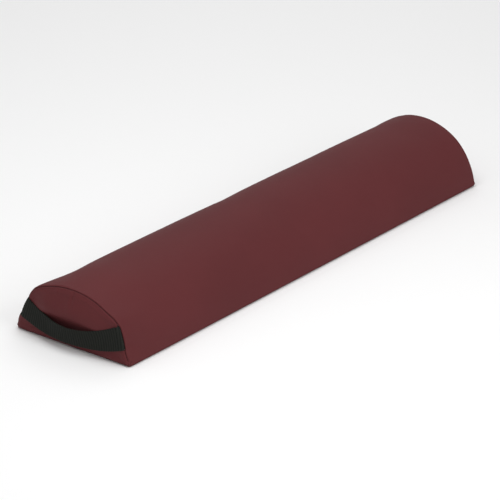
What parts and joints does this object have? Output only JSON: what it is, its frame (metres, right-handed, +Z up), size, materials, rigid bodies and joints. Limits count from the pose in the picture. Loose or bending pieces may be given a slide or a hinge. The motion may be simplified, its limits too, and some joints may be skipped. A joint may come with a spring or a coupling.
{
  "type": "half-round massage bolster",
  "caption": "Long half-round massage bolster with a flat base: foam core in a sewn coated-fabric cover, zipped underneath, with a short webbing carry handle on one end.",
  "frame": {"origin": "middle of the flat base, on the surface it rests on", "axes": "+X along the bolster, away from the handle end; +Y across the base towards the zip; +Z up"},
  "size_m": [0.673, 0.165, 0.074],
  "materials": {
    "cover": "satin",
    "foam": "matte",
    "webbing": "matte",
    "thread": "matte",
    "zip_tape": "matte",
    "zip_coil": "satin",
    "zip_metal": "satin"
  },
  "bodies": {
    "cushion": {"foam_core": "foam", "top_panel": "cover", "base_panel_front": "cover", "base_panel_rear": "cover", "end_panel_handle": "cover", "end_panel_plain": "cover", "end_seam_thread_handle": "thread", "end_seam_thread_plain": "thread", "base_seam_thread_front": "thread", "base_seam_thread_rear": "thread", "strap_tail_front": "webbing", "strap_tail_rear": "webbing", "strap_tack_front": "thread", "strap_tack_rear": "thread", "zip_tape_front": "zip_tape", "zip_tape_rear": "zip_tape", "zip_teeth_front": "zip_coil", "zip_teeth_rear": "zip_coil", "zip_thread_front": "thread", "zip_thread_rear": "thread", "zip_top_stops": "zip_metal", "zip_bottom_stop": "zip_metal"},
    "handle": {"handle_strap": "webbing"},
    "slider": {"zip_slider": "zip_metal"},
    "pull": {"zip_pull_tab": "zip_metal"}
  },
  "joints": [
    {"name": "handle_swing", "type": "hinge", "parent": "cushion", "child": "handle", "pos_m": [-0.3304, 0, 0.0435], "axis": [0, 1, 0], "range_deg": [0, 75]},
    {"name": "zip_slide", "type": "slide", "parent": "cushion", "child": "slider", "axis": [-1, 0, 0], "range_m": [0, 0.53]},
    {"name": "pull_swing", "type": "hinge", "parent": "slider", "child": "pull", "pos_m": [0.274, 0.058, 0.00105], "axis": [0, -1, 0], "range_deg": [0, 165]}
  ]
}
